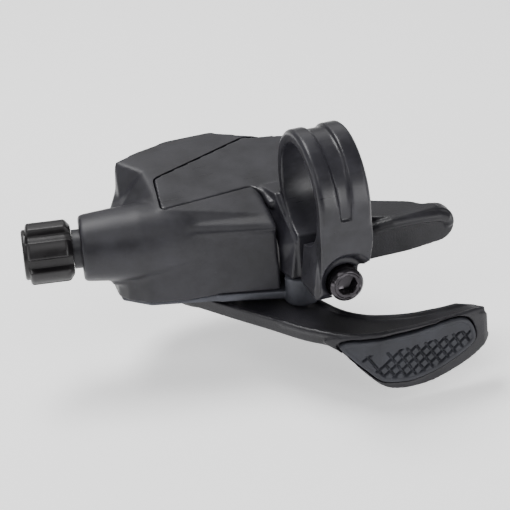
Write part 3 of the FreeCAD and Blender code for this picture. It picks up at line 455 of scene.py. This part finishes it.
def bracket():
    """The band round the bar with its channel, its ears, the web and the foot on the housing."""
    rim = 0.7
    band = turned("clamp_band", [
        (-HALF_WIDTH, RING_RADIUS - rim), (-HALF_WIDTH + rim, RING_RADIUS), (HALF_WIDTH - rim, RING_RADIUS),
        (HALF_WIDTH, RING_RADIUS - rim),
    ], (0, 0, 0), (1, 0, 0), 144)
    ears = prism("clamp_ears", [
        (-13.2, -1.0), (-13.2, -5.2), (-12.95, -8.5), (-12.2, -13.0), (-11.5, -17.0), (-10.6, -19.2),
        (-8.8, EAR_BOTTOM), (8.2, EAR_BOTTOM), (8.2, -14.0), (12.6, -4.6), (0.0, 4.0),
    ], -HALF_WIDTH, HALF_WIDTH, "YZ")
    web_edge = [
        (3.0, EAR_BOTTOM), (8.2, EAR_BOTTOM), (8.2, -15.0), (13.4, -8.6), (20.0, -7.4), (20.0, -4.9),
        (12.4, -4.6), (8.0, -8.5), (3.0, -12.6),
    ]
    web_left = [-7.6, -8.7, -8.7, -8.7, -8.7, -8.7, -7.2, -6.3, -6.2]
    web = stack("clamp_web", [
        [(x, y, z) for x, (y, z) in zip(web_left, web_edge)], [(HALF_WIDTH, y, z) for y, z in web_edge],
    ])
    flare = prism("ear_flare", [
        (-5.6, -7.0), (-5.9, -12.0), (-6.5, -16.5), (-6.9, -19.4), (-6.5, -20.4), (-5.6, -20.4),
    ], -9.9, -0.8, "XZ")
    foot = tilted_prism("clamp_foot", softened(FOOT, 1.2), FOOT_DEPTH, 0.0)
    join(band, ears, web, foot, flare)

    bore = turned("bore", [(-30, BAR_RADIUS), (30, BAR_RADIUS)], (0, 0, 0), (1, 0, 0), 144)
    slot = brick("slot", (-9.0, -0.8, -30.0), (9.0, 2.6, -5.0))
    shank = turned("shank_space", [(-12, 2.55), (12, 2.55)], (0, 0, BOLT_HEIGHT), (0, 1, 0), 48)
    seat = turned("head_space", [(-12, 4.1), (BOLT_SEAT, 4.1)], (0, 0, BOLT_HEIGHT), (0, 1, 0), 48)
    cove = turned("cove", [(-14, 7.2), (-9.4, 4.4)], (0, 0, BOLT_HEIGHT + 1.4), (0, 1, 0), 48)
    taper = prism("ear_taper", [
        (HALF_WIDTH, -8.5), (9.0, -8.5), (9.0, -23.0), (3.4, -23.0), (3.9, -16.0), (5.2, -12.2),
    ], -16.0, -0.5, "XZ")
    beside = brick("beside_head", (3.2, -16.0, -24.0), (9.0, -7.7, -14.4))
    carve(band, bore, slot, shank, seat, cove, taper, beside, channel())
    return done(mould(band, 0.25, 7), "shifter_body", "clamp_black", "clamp_bracket")


def channel():
    """The shallow channel in the band, from behind the bar over the top to below its front."""
    start, end, steps = math.radians(-7), math.radians(196), 60
    left, right = -2.0, 1.8
    floor_radius, outer_radius = RING_RADIUS - 0.65, RING_RADIUS + 3
    rings = []
    for step in range(steps + 1):
        turn = start + (end - start) * step / steps
        spread = min(1.0, 0.62 + 0.022 * step)
        middle, half = (left + right) / 2, (right - left) / 2 * spread
        front, up = -math.cos(turn), math.sin(turn)
        corners = (-1, floor_radius), (1, floor_radius), (1.08, outer_radius), (-1.08, outer_radius)
        rings.append([(middle + side * half, front * radius, up * radius) for side, radius in corners])
    return stack("channel", rings)


def bolt():
    """The pinch bolt: chamfered head with a hexagon socket."""
    head_height, socket_radius, socket_depth = 4.0, 2.31, 3.2
    face = BOLT_SEAT - head_height
    axis = (0, 0, BOLT_HEIGHT)
    head = turned("clamp_bolt_head", [
        (face + 0.25, 2.75), (face, 2.95), (face + 0.05, 3.2), (face + 0.6, 3.72), (BOLT_SEAT - 0.3, 3.75),
        (BOLT_SEAT, 3.5),
    ], axis, (0, 1, 0), 96)
    shank = turned("bolt_shank", [(BOLT_SEAT - 0.5, 2.5), (7.4, 2.5), (7.9, 2.1)], axis, (0, 1, 0), 64)
    socket = turned("bolt_socket", [(face - 1, socket_radius), (face + socket_depth, socket_radius)],
                    axis, (0, 1, 0), 6)
    lead_in = turned("socket_lead", [(face - 0.4, 2.9), (face + 0.5, 2.0)], axis, (0, 1, 0), 64)
    piece = carve(join(head, shank), socket, lead_in)
    return done(bevelled(piece, 0.10, 2, 35), "shifter_body", "bolt_black", "clamp_bolt")


# ---------------------------------------------------------------- thumb lever

LEVER_TOP = -27.4
LEVER_BOTTOM = -30.4
PADDLE_FACE = -18.2
LEVER_AXIS = (-18, 27.5, 0)
NEAR_EDGE = [
    (-14.5, 0.4), (-10.0, -6.9), (-7.0, -10.6), (-3.7, -14.0), (0.0, -16.4), (4.1, -17.6), (10.6, -17.9),
    (17.3, -17.6), (24.2, -16.9), (28.4, -15.9),
]
ARM = NEAR_EDGE + [
    (29.6, -14.8), (28.4, -12.9), (25.6, -11.2), (19.7, -11.2), (13.3, -10.7), (7.5, -8.7), (4.2, -6.5),
    (1.5, -3.1), (-0.7, 2.3), (-4.6, 15.0), (-6.0, 25.0), (-6.6, 32.0), (-11.0, 38.0), (-18.0, 40.2),
    (-26.0, 38.0), (-31.2, 33.6), (-32.6, 29.5), (-30.8, 25.9), (-24.9, 16.7), (-19.7, 8.4),
]
PADDLE = [
    (-6.0, -29.2), (-2.9, -31.6), (1.1, -36.2), (4.8, -39.7), (9.5, -41.0), (16.1, -40.6), (23.9, -38.2),
    (28.9, -35.4), (30.0, -32.0), (28.8, -28.8), (18.0, -27.6), (8.0, -27.6), (-2.0, -27.7),
]
PAD = [
    (-3.8, -29.9), (-2.2, -32.0), (0.8, -35.1), (4.2, -38.2), (9.3, -39.2), (13.7, -38.8), (18.2, -37.6),
    (23.3, -35.4), (25.9, -33.4), (25.2, -29.8), (23.0, -28.0), (18.0, -27.9), (12.1, -28.3), (3.5, -28.5),
    (-1.8, -28.7),
]


def face_shift(x):
    """How far forwards of the paddle's flattest stretch its face lies at x."""
    edge = NEAR_EDGE
    for (x0, y0), (x1, y1) in zip(edge, edge[1:]):
        if x <= x1:
            share = max(0.0, (x - x0) / (x1 - x0))
            return y0 + (y1 - y0) * share + 17.9
    return edge[-1][1] + 17.9 + 0.7 * (x - edge[-1][0])


def wrapped(piece):
    """Bends a flat piece of the paddle to follow the lever's near edge."""
    for vertex in piece.data.vertices:
        vertex.co.y += 0.9 * face_shift(vertex.co.x)
    return piece


def strips(name, outline, low, high):
    """A prism along Y that is cut across into narrow strips, so that it can be bent."""
    piece = prism(name, outline, low, high, "XZ")
    bm = bmesh.new()
    bm.from_mesh(piece.data)
    for step in range(-9, 30):
        geometry = bm.verts[:] + bm.edges[:] + bm.faces[:]
        bmesh.ops.bisect_plane(bm, geom=geometry, plane_co=(step, 0, 0), plane_no=(1, 0, 0))
    bm.to_mesh(piece.data)
    bm.free()
    return piece


def thumb_lever():
    """The forged lever: flat arm, hub round the bearing and the paddle that hangs from it."""
    arm = prism("thumb_lever_forging", curve(ARM, 5), LEVER_BOTTOM, LEVER_TOP)
    paddle = wrapped(strips("paddle", curve(inset(PADDLE, -0.2), 5), PADDLE_FACE, PADDLE_FACE + 4.2))
    hub = turned("hub", [(-31.9, 9.6), (-31.5, 10.2), (LEVER_TOP, 10.5)], LEVER_AXIS, (0, 0, 1), 96)
    join(arm, hub, paddle)
    bearing = turned("bearing_seat", [(-34, 6.02), (-27.7, 6.02)], LEVER_AXIS, (0, 0, 1), 96)
    clearance = turned("axle_clearance", [(-34, 4.7), (-26, 4.7)], LEVER_AXIS, (0, 0, 1), 64)
    recess = wrapped(strips("pad_recess", curve(inset(PAD, -0.35), 5), PADDLE_FACE - 3, PADDLE_FACE + 1.0))
    dish = prism("arm_dish", curve(inset(ARM, 1.25), 4), LEVER_TOP - 0.55, LEVER_TOP + 3)
    rim = [(x + 0.1, y + 0.55, LEVER_TOP - 0.35) for x, y in curve(ARM, 4)]
    start = min(range(len(rim)), key=lambda index: abs(rim[index][0] + 14.4) + abs(rim[index][1] - 1))
    bead = swept("lever_bead", [rim[(start + index) % len(rim)] for index in range(0, 38, 2)], 0.72)
    carve(arm, dish)
    join(arm, bead)
    tip = prism("tip_cut", [
        (23.0, -9.0), (24.6, -11.4), (27.3, -13.1), (29.3, -15.6), (34.0, -15.6), (34.0, -9.0),
    ], -34.0, -24.0)
    carve(arm, bearing, clearance, recess, tip)
    return done(mould(arm, 0.26, 6), "main_lever", "lever_black", "main_lever")


def groove(x, z):
    """0 on the pad's smooth border and on its blocks, up to 1 in the middle of a tread groove."""
    top_line = -31.2 + 0.045 * (x - 12)
    if z > top_line or x < -0.6:
        return 0.0
    coarse = x < 3.0 + 0.9 * (z + 37.0)
    pitch = 3.8 if coarse else 1.9
    rising = (-0.60 * x + 0.80 * z) / pitch
    falling = (0.86 * x + 0.51 * z) / pitch
    nearest = min(abs(value - round(value)) * pitch for value in (rising, falling))
    fade = min(1.0, (top_line - z) / 0.3)
    return fade * max(0.0, 1.0 - (nearest / 0.34) ** 2)


def inside(outline, x, z):
    """How far the point lies inside the outline; negative if it is outside."""
    distance = 1e9
    within = False
    count = len(outline)
    for index in range(count):
        ax, az = outline[index]
        bx, bz = outline[(index + 1) % count]
        dx, dz = bx - ax, bz - az
        share = min(max(((x - ax) * dx + (z - az) * dz) / (dx * dx + dz * dz), 0), 1)
        distance = min(distance, math.hypot(x - ax - share * dx, z - az - share * dz))
        if (az > z) != (bz > z) and x < ax + dx * (z - az) / dz:
            within = not within
    return distance if within else -distance


def grip_pad():
    """The rubber pad, dished a little inside its border, with its tread cut in."""
    front = PADDLE_FACE - 0.6
    piece = strips("lever_grip_pad_tread", curve(PAD, 5), front, PADDLE_FACE + 0.8)
    mould(piece, 0.11, 4)
    outline = curve(PAD, 2)
    for vertex in piece.data.vertices:
        if vertex.co.y > front + 0.5:
            continue
        depth = inside(outline, vertex.co.x, vertex.co.z)
        dish = 0.22 * min(max((depth - 0.55) / 0.35, 0.0), 1.0)
        cut = 0.65 * groove(vertex.co.x, vertex.co.z) * min(max((depth - 0.85) / 0.3, 0.0), 1.0)
        vertex.co.y += dish + cut
    wrapped(piece)
    return done(piece, "main_lever", "grip_rubber", "lever_grip_pad")


# ---------------------------------------------------------------- release lever

RELEASE_TOP = -12.3
RELEASE_UNDERSIDE = -15.3
SLEEVE_FOOT = -21.2
RELEASE_AXIS = (-2.5, 30.5, 0)
RELEASE_ARM = [
    (-5.4, 29.6), (-0.6, 26.6), (6.4, 19.6), (8.2, 15.0), (9.6, 11.0), (11.6, 8.2), (14.5, 6.0), (26.0, 5.2),
    (27.8, 6.0), (27.6, 7.6), (25.2, 8.4), (23.2, 11.2), (15.7, 15.4), (8.5, 22.8),
    (0.6, 32.6), (-3.4, 33.6),
]
RELEASE_FACE = [
    (7.0, -17.2), (7.2, -21.3), (20.3, -21.1), (28.6, -20.2), (30.6, -18.4), (31.0, -16.0), (30.5, -14.2),
    (28.8, -12.9), (26.0, -12.4), (15.6, -12.6), (13.0, -14.0), (10.6, -16.4),
]
RELEASE_RIDGE = [
    (9.2, 7.6, -16.9), (11.4, 6.6, -15.3), (13.8, 5.5, -14.1), (16.5, 5.0, -13.7), (22.0, 5.0, -13.9),
    (27.4, 5.0, -14.3), (29.2, 5.2, -15.2), (29.75, 5.4, -16.6), (29.3, 5.6, -18.4),
]


def release_lever():
    """The upper lever: flat arm through the window, and a paddle with a rolled upper edge."""
    arm = prism("release_lever_forging", softened(RELEASE_ARM, 1.5), RELEASE_UNDERSIDE, RELEASE_TOP)
    paddle = prism("release_paddle", softened(inset(RELEASE_FACE, -0.1), 1.6), 4.9, 8.6, "XZ")
    ridge = swept("release_ridge", RELEASE_RIDGE, 1.25)
    sleeve = turned("release_sleeve", [(SLEEVE_FOOT, 3.3), (RELEASE_TOP, 3.3)], RELEASE_AXIS, (0, 0, 1), 64)
    nose = prism("release_nose", [(-4.6, 31.0), (-1.0, 32.0), (-2.6, 34.6), (-4.4, 34.4)], SLEEVE_FOOT, -19.3)
    join(arm, paddle, ridge, sleeve, nose)
    bore = turned("release_bore", [(-25, 2.06), (-8, 2.06)], RELEASE_AXIS, (0, 0, 1), 48)
    carve(arm, bore)
    return done(mould(arm, 0.24, 8), "release_lever", "lever_black", "release_lever")


# ---------------------------------------------------------------- adjuster knob

def knob():
    """The adjuster's knob: six broad lobes between flutes, and a plain disc at its outer end."""
    lobes, steps = 6, 180
    start, length = 1.8, 10.7
    lobe_radius, disc_radius = 6.85, 5.5
    basis = ADJUSTER_WAY.to_track_quat("Z", "Y")

    def ring(reach, size, flute):
        corners = []
        for step in range(steps):
            turn = math.tau * step / steps
            phase = abs(((turn * lobes / math.tau) % 1.0) - 0.5) * 2
            dip = min(max((phase - 0.52) / 0.16, 0.0), 1.0)
            dip = dip * dip * (3 - 2 * dip)
            radius = size - flute * dip
            corners.append(basis @ Vector((radius * math.cos(turn), radius * math.sin(turn), reach))
                           + NECK_MOUTH)
        return corners

    body = stack("adjuster_knob_lobed", [
        ring(start, 5.4, 0.3), ring(start + 0.9, 6.6, 1.35), ring(start + 1.3, lobe_radius, 1.55),
        ring(start + 9.2, lobe_radius, 1.55), ring(start + 9.6, 6.5, 1.2),
        ring(start + 9.75, disc_radius, 0.0), ring(start + 10.4, disc_radius, 0.0),
        ring(start + length, 5.1, 0.0),
    ])
    bore = turned("knob_bore", [(0, 3.72), (20, 3.72)], NECK_MOUTH, ADJUSTER_WAY)
    carve(body, bore)
    return done(mould(body, 0.16, 3), "adjuster_knob", "knob_black", "adjuster_knob")


# ---------------------------------------------------------------- staging

def finish_cad_nodes():
    """The CAD nodes that stay visible get the finish of their slot."""
    for entry in frame["record"]["subparts"]:
        mesh = frame["nodes"][entry["node"]].data
        mesh.materials.clear()
        mesh.materials.append(FINISHES[entry["material_slot"]])


def camera():
    """The camera of a catalogue picture: the shifter seen from the rider's side, a little above."""
    slope, toward, rise = (math.radians(angle) for angle in (12.2, 14.8, 27.0))
    distance, aside, above = 560.0, 14.54, 13.84
    x_axis = Vector((math.cos(toward) * math.cos(slope), math.cos(toward) * math.sin(slope), -math.sin(toward)))
    across = Vector((-math.sin(slope), math.cos(slope), 0.0))
    z_axis = math.cos(rise) * across + math.sin(rise) * x_axis.cross(across)
    y_axis = z_axis.cross(x_axis)
    rotation = Matrix((x_axis, y_axis, z_axis))
    spot = -(rotation @ Vector((aside, above, -distance)))
    data = bpy.data.cameras.new("camera")
    data.sensor_width = 36.0
    data.lens = 187.4
    data.clip_end = 20.0
    eye = bpy.data.objects.new("camera", data)
    scene.collection.objects.link(eye)
    eye.matrix_world = Matrix.Translation(spot * MM) @ rotation.to_4x4()
    scene.camera = eye
    return eye


def lamp(name, spot, size, power, target=(-0.005, 0.01, -0.015)):
    data = bpy.data.lights.new(name, "AREA")
    data.shape = "RECTANGLE"
    data.size, data.size_y = size
    data.energy = power
    light = bpy.data.objects.new(name, data)
    scene.collection.objects.link(light)
    way = Vector(target) - Vector(spot)
    light.matrix_world = Matrix.Translation(spot) @ way.to_track_quat("-Z", "Y").to_matrix().to_4x4()


def studio():
    """A pale floor and soft light, strongest from above."""
    world = bpy.data.worlds.new("studio")
    world.use_nodes = True
    backdrop = world.node_tree.nodes["Background"]
    backdrop.inputs["Color"].default_value = (1.0, 1.0, 1.0, 1.0)
    backdrop.inputs["Strength"].default_value = 0.28
    scene.world = world
    bm = bmesh.new()
    bmesh.ops.create_grid(bm, x_segments=8, y_segments=8, size=6.0)
    floor = put("floor", bm)
    floor.location.z = cad_box[0][2] - 0.004
    material = bpy.data.materials.new("floor")
    material.use_nodes = True
    shader = material.node_tree.nodes["Principled BSDF"]
    shader.inputs["Base Color"].default_value = (0.93, 0.93, 0.93, 1.0)
    shader.inputs["Roughness"].default_value = 0.8
    shader.inputs["Emission Color"].default_value = (1.0, 1.0, 1.0, 1.0)
    shader.inputs["Emission Strength"].default_value = 0.62
    floor.data.materials.append(material)
    lamp("key", (-0.12, 0.16, 0.46), (0.34, 0.20), 2.9)
    lamp("over_shoulder", (-0.16, -0.34, 0.42), (0.34, 0.20), 0.7)
    lamp("left", (-0.50, 0.02, 0.12), (0.20, 0.30), 0.35)
    lamp("fill", (0.40, -0.35, 0.20), (0.16, 0.34), 0.5)
    lamp("front", (0.22, -0.50, 0.05), (0.12, 0.30), 1.3)
    lamp("rim", (0.10, 0.45, 0.32), (0.50, 0.20), 0.35)


finish_cad_nodes()
camera()
studio()
housing()
bracket()
bolt()
thumb_lever()
grip_pad()
release_lever()
knob()
base_plate()
